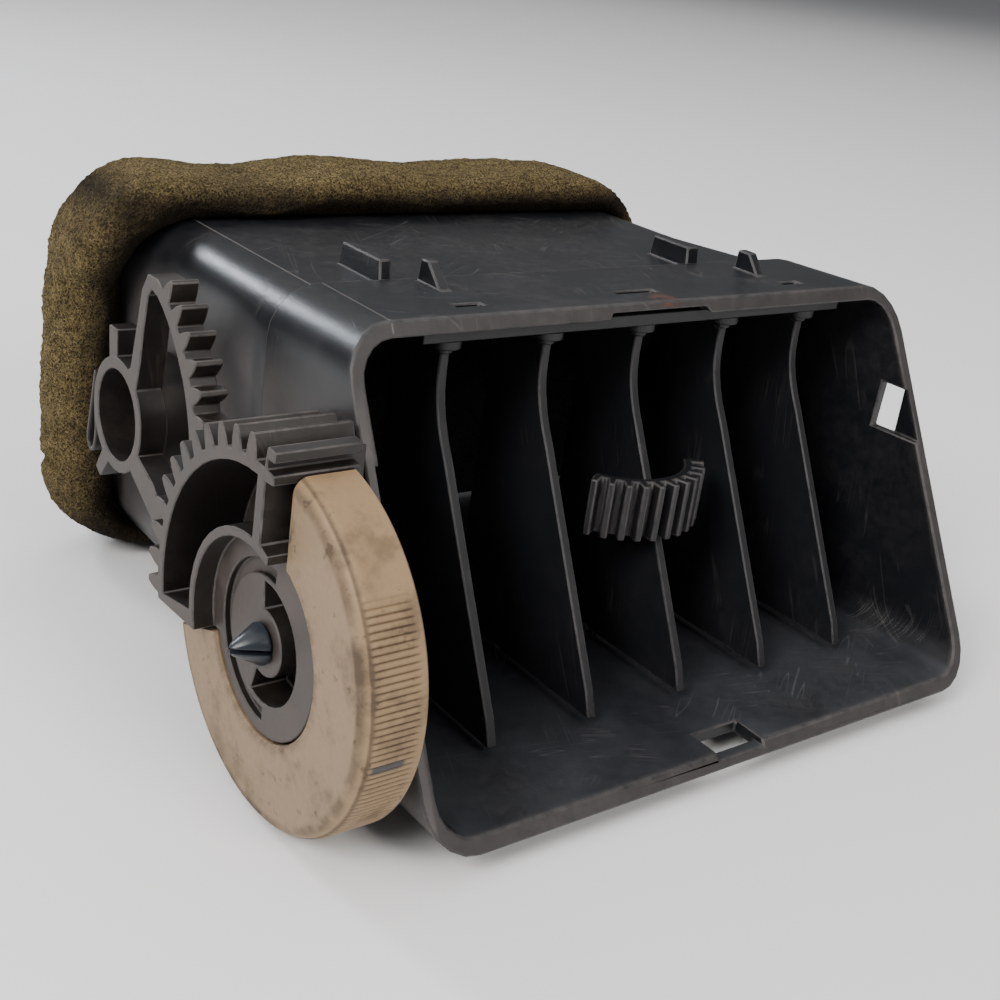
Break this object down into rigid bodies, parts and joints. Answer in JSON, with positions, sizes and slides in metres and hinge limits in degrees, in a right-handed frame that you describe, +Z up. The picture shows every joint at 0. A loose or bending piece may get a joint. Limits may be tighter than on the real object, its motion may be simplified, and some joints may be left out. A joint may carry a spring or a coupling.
{
  "type": "dashboard air vent",
  "caption": "Rectangular car dashboard air vent with a leaning mouth, linked steering vanes, a shut-off flap geared to a side thumbwheel, and a foam inlet seal.",
  "frame": {"origin": "on the flat underside of the front sleeve, at mid pitch of the vanes and 50 mm behind the mouth's lower lip", "axes": "+X across the vent, to the right as the driver sees it; +Y into the duct, away from the mouth; +Z up"},
  "size_m": [0.14, 0.124, 0.0767],
  "materials": {
    "housing_plastic": "moulded black plastic, satin, scratched and dusty",
    "mechanism_plastic": "moulded black plastic, dusty grey-brown",
    "grip_plastic": "cream moulded plastic, finely ribbed tread, stained",
    "seal_foam": "olive-brown open-cell foam",
    "flap_foam": "thin dark grey foam facing",
    "pin_plastic": "glossy blue-black moulded plastic"
  },
  "bodies": {
    "housing": {"duct_housing": "housing_plastic", "upper_vane_bearing_strip": "housing_plastic", "inlet_foam_seal": "seal_foam", "thumbwheel_pivot_pin": "pin_plastic"},
    "vane_1": {"vane_1": "housing_plastic"},
    "vane_2": {"vane_2": "housing_plastic"},
    "vane_3": {"vane_3": "housing_plastic"},
    "vane_4": {"vane_4": "housing_plastic"},
    "vane_5": {"vane_5": "housing_plastic"},
    "link_bar": {"vane_link_bar": "housing_plastic"},
    "thumbwheel": {"thumbwheel_carrier": "mechanism_plastic", "thumbwheel_grip": "grip_plastic"},
    "flap": {"flap_plate": "housing_plastic", "flap_front_foam": "flap_foam", "flap_rear_foam": "flap_foam", "flap_lever": "mechanism_plastic", "lever_hairpin_clip": "mechanism_plastic"}
  },
  "joints": [
    {"name": "vane_1_turn", "type": "hinge", "parent": "housing", "child": "vane_1", "pos_m": [-0.04, -0.0087, 0.03], "axis": [0, 0, 1], "range_deg": [-30, 30]},
    {"name": "vane_2_turn", "type": "hinge", "parent": "housing", "child": "vane_2", "pos_m": [-0.02, -0.0087, 0.03], "axis": [0, 0, 1], "range_deg": [-30, 30]},
    {"name": "vane_3_turn", "type": "hinge", "parent": "housing", "child": "vane_3", "pos_m": [0, -0.0087, 0.03], "axis": [0, 0, 1], "range_deg": [-30, 30]},
    {"name": "vane_4_turn", "type": "hinge", "parent": "housing", "child": "vane_4", "pos_m": [0.02, -0.0087, 0.03], "axis": [0, 0, 1], "range_deg": [-30, 30]},
    {"name": "vane_5_turn", "type": "hinge", "parent": "housing", "child": "vane_5", "pos_m": [0.04, -0.0087, 0.03], "axis": [0, 0, 1], "range_deg": [-30, 30]},
    {"name": "link_bar_swing", "type": "hinge", "parent": "vane_3", "child": "link_bar", "pos_m": [0, 0.0085, 0.0115], "axis": [0, 0, 1], "range_deg": [-30, 30]},
    {"name": "thumbwheel_turn", "type": "hinge", "parent": "housing", "child": "thumbwheel", "pos_m": [-0.069, -0.0221, 0.024], "axis": [1, 0, 0], "range_deg": [-77, 8]},
    {"name": "flap_turn", "type": "hinge", "parent": "housing", "child": "flap", "pos_m": [0, 0.03987, 0.03477], "axis": [1, 0, 0], "range_deg": [-7.5, 70.5]}
  ],
  "couplings": [
    {"joint": "vane_1_turn", "follows": "vane_3_turn", "ratio": 1},
    {"joint": "vane_2_turn", "follows": "vane_3_turn", "ratio": 1},
    {"joint": "vane_4_turn", "follows": "vane_3_turn", "ratio": 1},
    {"joint": "vane_5_turn", "follows": "vane_3_turn", "ratio": 1},
    {"joint": "link_bar_swing", "follows": "vane_3_turn", "ratio": -1},
    {"joint": "flap_turn", "follows": "thumbwheel_turn", "ratio": -0.91304}
  ]
}
